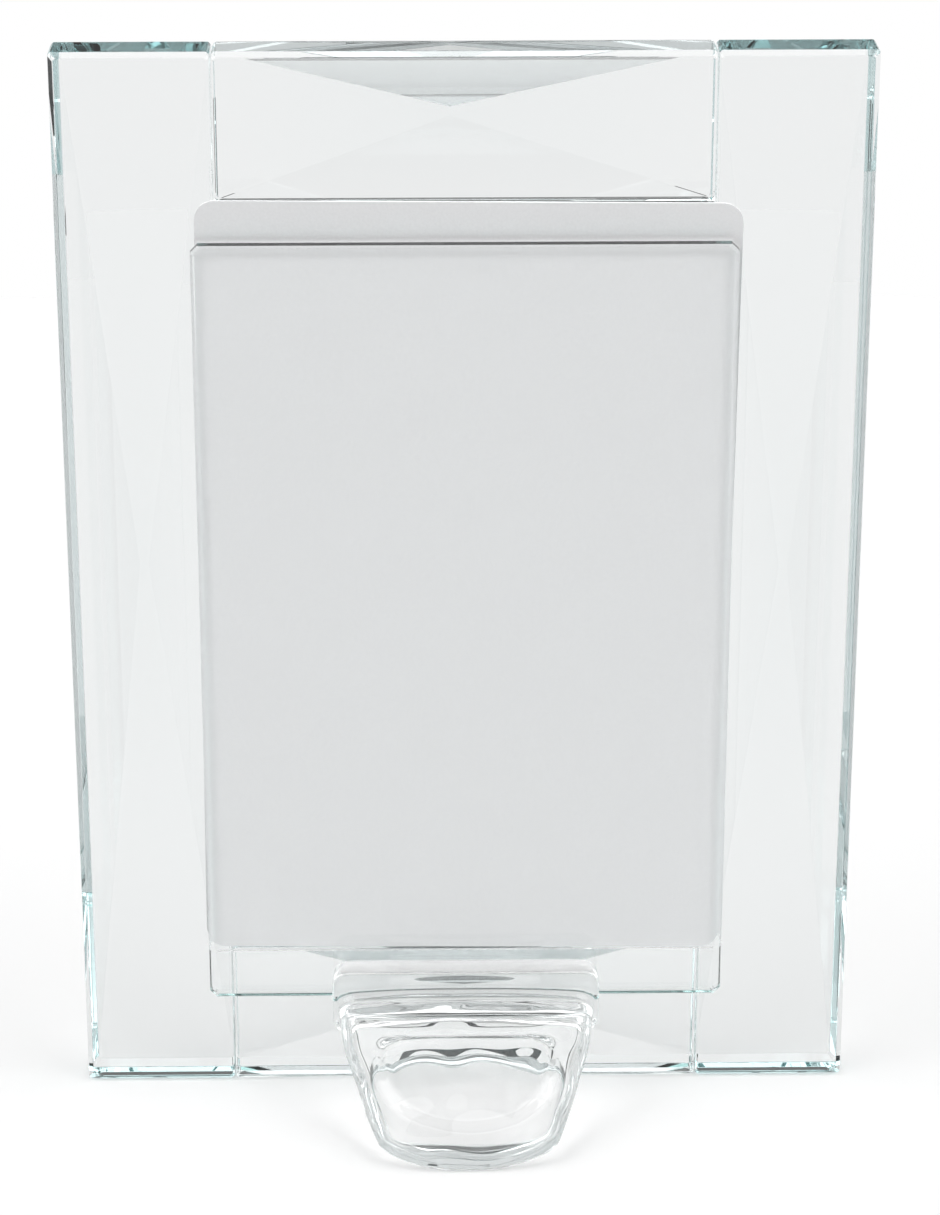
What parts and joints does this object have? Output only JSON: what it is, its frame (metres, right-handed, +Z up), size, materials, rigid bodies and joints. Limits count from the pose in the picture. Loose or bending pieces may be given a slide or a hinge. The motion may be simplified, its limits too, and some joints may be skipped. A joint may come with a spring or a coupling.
{
  "type": "picture frame",
  "caption": "Clear cut-glass picture frame for an upright standard print, with faceted bars, a card in a rear pocket and a pressed-glass foot.",
  "frame": {"origin": "on the table, under the middle of the frame's outer box", "axes": "+X across the frame, -Y out of its cut front towards the viewer of the print, +Z up; the frame leans back 7 degrees towards +Y"},
  "size_m": [0.152, 0.0648, 0.2104],
  "materials": {
    "crystal": "polished",
    "float_glass": "polished",
    "pressed_glass": "gloss",
    "clear_adhesive": "gloss",
    "card": "matte"
  },
  "bodies": {
    "frame": {"left_stile": "crystal", "right_stile": "crystal", "top_rail": "crystal", "bottom_rail": "crystal", "window_pane": "float_glass", "bond_strip": "clear_adhesive", "back_plate": "float_glass", "easel_foot": "pressed_glass"},
    "card": {"insert_card": "card"}
  },
  "joints": [
    {"name": "card_lift", "type": "slide", "parent": "frame", "child": "card", "axis": [0, 0.1219, 0.9925], "range_m": [0, 0.185]}
  ]
}
